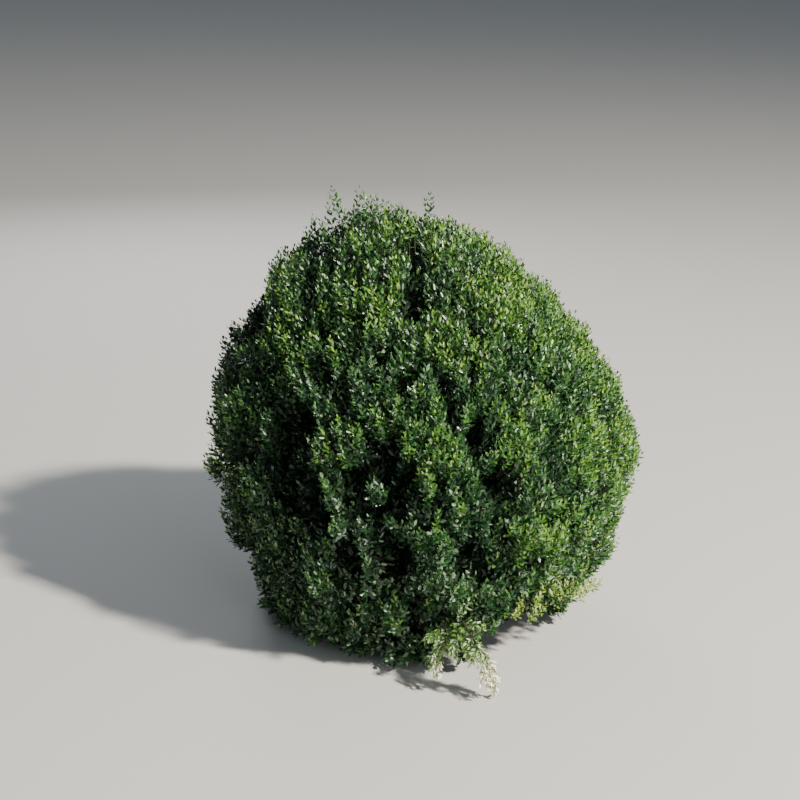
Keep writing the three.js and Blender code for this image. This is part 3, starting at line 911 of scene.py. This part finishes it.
def freshness(directions):
    """How fresh each shoot is. Its sunward part is partly painted light."""
    shift = Vector(DRIFT["shift"])
    drift = np.array([noise.noise(Vector(d) * DRIFT["scale"] + shift) for d in directions])
    fine = np.array([noise.noise(Vector(d) * DRIFT["fine_scale"]) for d in directions])
    # partly painted light: lighter kinds towards the light, darker ones away from it
    by_place = FRESHNESS["sun"] * (directions @ unit(np.array(SUNWARD)))
    by_place = by_place + FRESHNESS["drift"] * drift + FRESHNESS["fine"] * fine
    return by_place + FRESHNESS["chance"] * swing(SHOOT["seed"] + 3, np.arange(len(directions)))


def kinds_of(ends, sunk):
    """The kind of each shoot, from where it grows and by chance, with painted shade deep in the gaps and
    painted light towards the sun and on tufts that stand out.
    """
    points = ends["points"]
    index = np.arange(len(points))
    fresh = freshness(ends["directions"])
    kinds = np.select([fresh > FRESH_FROM, fresh > MID_FROM], [FRESH, MID], DEEP)
    loose = looseness(ends)
    # painted shade: the deeper a shoot is sunk in a gap, the darker its kind
    depth = sunk / (1 + SHADE_DARK_LATER * loose)
    kinds = np.where(depth > SHADE_DARK_FROM[1], DARKEST_SHADE, kinds)
    kinds = np.where((depth > SHADE_DARK_FROM[0]) & (kinds > DEEP), kinds - 1, kinds)
    # fresh tufts that stand out, painted lighter as if lit
    is_fresh_lit_tuft = (loose > FRESH_LIT_TUFTS["loose"]) & (sunk < FRESH_LIT_TUFTS["sunk"])
    is_fresh_lit_tuft &= chance(SHOOT["seed"] + 12, index) < FRESH_LIT_TUFTS["share"]
    kinds = np.where(is_fresh_lit_tuft, FRESH, kinds)
    for kind, middle, size, share, seed in PATCHES:
        gap = np.linalg.norm((points - np.array(middle)) / np.array(size), axis=1)
        inside = gap < 1 + PATCH_EDGE * swing(SHOOT["seed"] + 4, index)
        inside &= chance(SHOOT["seed"] + seed, index) < share
        kinds = np.where(inside, kind, kinds)
    return kinds


def clipped_shoots(twigs, twiglets):
    """The shoots on the clipped surface. Some of the yellow ones stand loosely out of it."""
    shoots, sunk = shoot_ends(twigs, twiglets)
    kinds = kinds_of(shoots, sunk)
    is_loose = chance(SHOOT["seed"] + 11, np.arange(len(kinds))) < LOOSE_SPRAYS["share"]
    shoots = sunk_by(shoots, -LOOSE_SPRAYS["out"] * (is_loose & (kinds == YELLOW)))
    return pick({**shoots, "kinds": kinds}, ~is_lifted(shoots["points"]))


def missed_shoots():
    """The shoots that the shears missed."""
    points = np.array(STRAYS, float)
    return {"directions": unit(points - HEART), "points": points, "kinds": np.full(len(points), MID)}


def inner_shoots():
    """The shoots inside the crown, of the darkest kind: painted shade on older, darker leaves."""
    scatter = INNER["scatter"] * chance(INNER["seed"] + 1, np.arange(INNER["count"]))
    return {**sunk_by(spiral_ends(INNER), scatter), "kinds": np.full(INNER["count"], DARKEST_SHADE)}


def plan_orders():
    """The ends of all orders of twigs. Twigs and twiglets sink where the surface has gaps."""
    twigs = spiral_ends(TWIG)
    twigs = sunk_by(twigs, TWIG_SINK * gap_depths(twigs))
    twiglets = spiral_ends(TWIGLET)
    clipped = clipped_shoots(twigs, twiglets)
    twiglets = sunk_by(twiglets, gap_depths(twiglets) + dome_drop(DOMES[0], twiglets, twigs))
    shoots = joined([clipped, missed_shoots(), inner_shoots()])
    return {"branches": spiral_ends(BRANCH), "twigs": twigs, "twiglets": twiglets, "shoots": shoots}


# Masses of foliage


def owned(mass, ends):
    """The ends that are this mass's, outside the hollow, with their numbers in the order."""
    points = ends["points"]
    index = np.flatnonzero((wall_room(mass, points) > 0) & ~is_bare(points))
    return {**pick(ends, index), "index": index}


def forks(twigs, limbs, share=FORK_FROM):
    """Where twigs leave the limbs that end nearest to their own ends."""
    which, _ = nearest(twigs["points"], limbs["points"])
    return curve_points(limbs["curves"][which], share)


def grow_branches(mass, ends):
    """The stem on the bough's tip, and the branches that leave its end."""
    bough = mass["bough"]
    seat = bough["tip"] + bough["tip_heading"] * SEAT_GAP
    hub = HEART + mass["heading"] * HUB_SHARE * reach(mass["heading"][None])[0]
    stem = np.array([[seat, (seat + hub) / 2, hub]])
    branches = pick(ends, wall_room(mass, ends["points"]) > BRANCH_ROOM)
    roots = np.tile(hub, (len(branches["points"]), 1))
    branches["curves"] = twig_curves(mass, roots, branches["points"], branches["directions"])
    return stem, branches


def grow_twigs(mass, ends, branches):
    """The twigs. A few on the upper side are sprigs, which stand out of the crown."""
    twigs = owned(mass, ends)
    directions = twigs["directions"]
    is_sprig = chance(TWIG["seed"] + 1, twigs["index"]) < SPRIG["chance"]
    is_sprig &= directions[:, 2] > 0
    tips = twigs["points"] + directions * (SPRIG["rise"] * is_sprig)[:, None]
    twigs["curves"] = twig_curves(mass, forks(twigs, branches), tips, directions)
    return twigs, is_sprig


def grow_twiglets(mass, ends, twigs):
    twiglets = owned(mass, ends)
    roots = forks(twiglets, twigs)
    twiglets["curves"] = bent_curves(roots, twiglets["points"], twiglets["directions"])
    return twiglets


def grow_shoots(mass, ends, twiglets):
    """The shoots, which turn up more the lower they grow."""
    shoots = owned(mass, ends)
    points = shoots["points"]
    roots = forks(shoots, twiglets, SHOOT_FORK_FROM)
    upward = SHOOT_PULL + LOW["rise"] * lowness(points)[:, None]
    curves = bent_curves(roots, points, shoots["directions"], upward)
    curves[:, 1, 2] = np.maximum(curves[:, 1, 2], LOWEST_BEND)
    shoots["curves"] = curves
    return shoots


def shoot_leaves(shoots):
    """The shoots' leaves, of their shoots' kinds."""
    size = 1 + LEAF_UNEVEN["shoot"] * swing(SHOOT["seed"] + 2, shoots["index"])
    size = size * KIND_SIZES[shoots["kinds"]]
    leaves = grow_leaves(shoots["curves"], shoots["index"], size, LEAF_PAIRS, SHOOT["seed"])
    leaves["kind"] = shoots["kinds"][leaves["shoot"]]
    return leaves


def sprig_leaves(sprigs):
    """The sprigs' leaves, in more pairs than a shoot has."""
    size = np.full(len(sprigs["index"]), SPRIG["leaf_size"])
    leaves = grow_leaves(sprigs["curves"], sprigs["index"], size, SPRIG_PAIRS, TWIG["seed"])
    leaves["kind"] = np.full(len(leaves["root"]), MID)
    return leaves


def trimmed(leaves, limbs):
    """Leaves without those far outside the outline, in the ground or against a bough."""
    tips = leaf_tips(leaves)
    out = tips - HEART
    kept = np.linalg.norm(out, axis=1) < reach(unit(out)) + MOST_OUTSIDE
    kept &= above_ground(leaves)
    kept &= nearest(tips, limbs)[1] > LIMB_ROOM
    return pick(leaves, kept)


def leaf_slots(leaves):
    """Each face's material, from its leaf's kind and row. Some leaves are worn, pale partly with wear and
    partly as painted glints, more low down.
    """
    kinds = leaves["kind"]
    share = WORN_GLINT_LEAVES["share"] * (1 + WORN_GLINT_LEAVES["more_low"] * lowness(leaves["root"]))
    is_worn_glint = chance(WORN_GLINT_LEAVES["seed"], np.arange(len(kinds))) < share
    is_worn_glint &= (kinds > DARKEST_SHADE) & (kinds < YELLOW)
    kinds = np.where(is_worn_glint, WORN_GLINT, kinds)
    is_young = leaves["row"] < YOUNG_PAIRS
    return np.repeat(2 * kinds + is_young, len(LEAF_FACES))


def add_foliage(name, old_wood, young_wood, leaves):
    """The two pieces of one mass. Its old wood is browner than the young."""
    node = f"foliage_{name}"
    old, young = merge(old_wood), merge(young_wood)
    ages = np.repeat([0, 1], [len(old[1]), len(young[1])])
    twigs = add_piece(f"twigs_{name}", *merge([old, young]), TWIG_BARKS, ages)
    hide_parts(node)
    blades = add_piece(f"leaves_{name}", *leaf_mesh(leaves), LEAVES, leaf_slots(leaves))
    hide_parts(node)


def add_mass(mass, orders, limbs):
    """A mass: its stem, branches, twigs, twiglets, shoots and leaves."""
    stem, branches = grow_branches(mass, orders["branches"])
    twigs, is_sprig = grow_twigs(mass, orders["twigs"], branches)
    twiglets = grow_twiglets(mass, orders["twiglets"], twigs)
    shoots = grow_shoots(mass, orders["shoots"], twiglets)
    old_wood = [
        limb_mesh(stem, {"radius": mass["bough"]["tip_radius"], **STEM}),
        limb_mesh(branches["curves"], BRANCH),
        limb_mesh(twigs["curves"], TWIG),
    ]
    young_wood = [limb_mesh(twiglets["curves"], TWIGLET), limb_mesh(shoots["curves"], SHOOT)]
    leaves = joined([shoot_leaves(shoots), sprig_leaves(pick(twigs, is_sprig))])
    add_foliage(mass["name"], old_wood, young_wood, trimmed(leaves, limbs))


# The pale spray


def drooping(roots, ends):
    """Twigs that leave their roots outward and hang down to their ends."""
    return np.stack([roots, roots + (ends - roots) * SPRAY_DROOP, ends], axis=1)


def plan_spray_stem(bough):
    """The spray's stem, which arches out from its bough and hangs to the ground."""
    seat = bough["tip"] + bough["tip_heading"] * SEAT_GAP
    crest = heading(HANGING["azimuth"], 0) * HANGING["crest_radius"] + UP * HANGING["crest_height"]
    pull = seat + bough["tip_heading"] * HANGING["stiffness"]
    curve = (seat, pull, crest, np.array(HANGING["tip"], float))
    return {"curve": curve, "radius": bough["tip_radius"], "tip_radius": HANGING["tip_thickness"] / 2}


def stem_twigs(curve):
    """The twigs that leave the spray's stem: its strands, and then the short ones."""
    count = SHORT_TWIGS["count"]
    index = np.arange(len(STRANDS) + count)
    strand_shares = [share for share, _ in STRANDS]
    short_shares = np.linspace(SHORT_TWIGS["from"], SHORT_TWIGS["to"], count)
    roots = cubic(*curve, np.concatenate([strand_shares, short_shares]))
    turns = HANGING["azimuth"] + SHORT_TWIGS["turn"] * swing(SPRAY_SEED + 1, index)
    aim = np.array([heading(turn, 0) for turn in turns])
    length = dealt(SHORT_TWIGS["length"], SPRAY_SEED + 3, index)
    rise = dealt(SHORT_TWIGS["rise"], SPRAY_SEED + 2, index)
    ends = roots + aim * length[:, None] + UP * rise[:, None]
    ends[: len(STRANDS)] = [end for _, end in STRANDS]
    return drooping(roots, ends)


def side_twigs(strands, first):
    """The side twigs of the strands, numbered from the first."""
    count = SIDE_TWIGS["count"]
    index = first + np.arange(len(strands) * count)
    shares = np.linspace(SIDE_TWIGS["from"], SIDE_TWIGS["to"], count)
    roots = curve_points(np.repeat(strands, count, axis=0), np.tile(shares, len(strands)))
    aim = np.array([heading(360 * turn, 0) for turn in chance(SPRAY_SEED + 13, index)])
    length = dealt(SIDE_TWIGS["length"], SPRAY_SEED + 14, index)
    drop = dealt(SIDE_TWIGS["drop"], SPRAY_SEED + 15, index)
    return drooping(roots, roots + aim * length[:, None] - UP * drop[:, None])


def faded_kinds(leaves, index):
    """The spray's kinds: bleached low down and on the right, then pale, and fresh near the crown."""
    root = leaves["root"]
    height = root[:, 2] + FADING["aside"] * (FADING["aside_from"] - root[:, 0])
    height = height + FADING["uneven"] * swing(SPRAY_SEED + 5, leaves["shoot"])
    height = height + FADING["uneven"] * swing(SPRAY_SEED + 12, index)
    below = [height < FADING["bleached_to"], height < FADING["pale_to"]]
    return np.select(below, [BLEACHED, PALE], FRESH)


def spray_leaves(twigs):
    """The spray's narrow leaves, which sag."""
    index = np.arange(len(twigs))
    size = SPRAY_LEAF["size"] + SPRAY_LEAF["uneven"] * swing(SPRAY_SEED + 7, index)
    leaves = grow_leaves(twigs, index, size, SPRAY_PAIRS, SPRAY_SEED + 4, SPRAY_LEAF["narrow"])
    index = np.arange(len(leaves["length"]))
    shorter = dealt(SPRAY_LEAF["length"], SPRAY_SEED + 11, index)
    leaves["length"] = leaves["length"] * shorter
    sway_x = SPRAY_SAG["sway"] * swing(SPRAY_SEED + 8, index)
    sway_y = SPRAY_SAG["sway"] * swing(SPRAY_SEED + 9, index)
    sag = dealt(SPRAY_SAG["down"], SPRAY_SEED + 10, index)
    leaves["axis"] = unit(leaves["axis"] + np.stack([sway_x, sway_y, sag], axis=1))
    leaves["kind"] = faded_kinds(leaves, index)
    return pick(leaves, above_ground(leaves))


def add_hanging_spray(bough):
    """The pale spray: its stem, strands, short twigs and leaves."""
    stem = plan_spray_stem(bough)
    twigs = stem_twigs(stem["curve"])
    twigs = np.concatenate([twigs, side_twigs(twigs[: len(STRANDS)], len(twigs))])
    old_wood = [bough_mesh(stem, **HANGING_MESH)]
    young_wood = [limb_mesh(twigs, SPRAY_TWIG)]
    add_foliage("hanging_spray", old_wood, young_wood, spray_leaves(twigs))


def grow_foliage(masses, hanging):
    """The pieces of all the masses."""
    orders = plan_orders()
    t = np.linspace(0, 1, LIMB_STEPS)
    boughs = [mass["bough"] for mass in masses] + [hanging]
    limbs = np.concatenate([cubic(*bough["curve"], t) for bough in boughs])
    for mass in masses:
        add_mass(mass, orders, limbs)
    add_hanging_spray(hanging)


# The stage: a pale floor, soft light and the photograph's view


def add_stage():
    size = FLOOR["half_size"]
    corners = [(-size, -size, 0), (size, -size, 0), (size, size, 0), (-size, size, 0)]
    mesh = bpy.data.meshes.new("floor")
    mesh.from_pydata(corners, [], [(0, 1, 2, 3)])
    floor = bpy.data.objects.new("floor", mesh)
    bpy.context.scene.collection.objects.link(floor)
    material, _, shader = principled("floor_paint")
    set_inputs(shader, {"Base Color": linear(*FLOOR["colour"]), "Roughness": FLOOR["roughness"]})
    mesh.materials.append(material)


def add_lights():
    for name, place, target, size, power, colour in LIGHTS:
        lamp = bpy.data.lights.new(name, "AREA")
        lamp.size = size
        lamp.energy = power
        lamp.color = colour
        light = bpy.data.objects.new(name, lamp)
        light.location = place
        light.rotation_euler = (Vector(target) - Vector(place)).to_track_quat("-Z", "Y").to_euler()
        light.visible_camera = False
        bpy.context.scene.collection.objects.link(light)
    world = bpy.data.worlds.new("studio")
    world.use_nodes = True
    set_inputs(world.node_tree.nodes["Background"], SKY)
    bpy.context.scene.world = world


def add_camera():
    lens = bpy.data.cameras.new("camera")
    lens.sensor_width = CAMERA["sensor"]
    lens.lens = CAMERA["lens"]
    camera = bpy.data.objects.new("camera", lens)
    camera.location = CAMERA["place"]
    camera.rotation_euler = (math.radians(90 - CAMERA["down"]), 0, 0)
    camera.rotation_euler.rotate_axis("Z", math.radians(CAMERA["roll"]))
    bpy.context.scene.collection.objects.link(camera)
    bpy.context.scene.camera = camera


MASSES = plan_masses()
HANGING_BOUGH = grow_wood(MASSES)
grow_foliage(MASSES, HANGING_BOUGH)
add_stage()
add_lights()
add_camera()
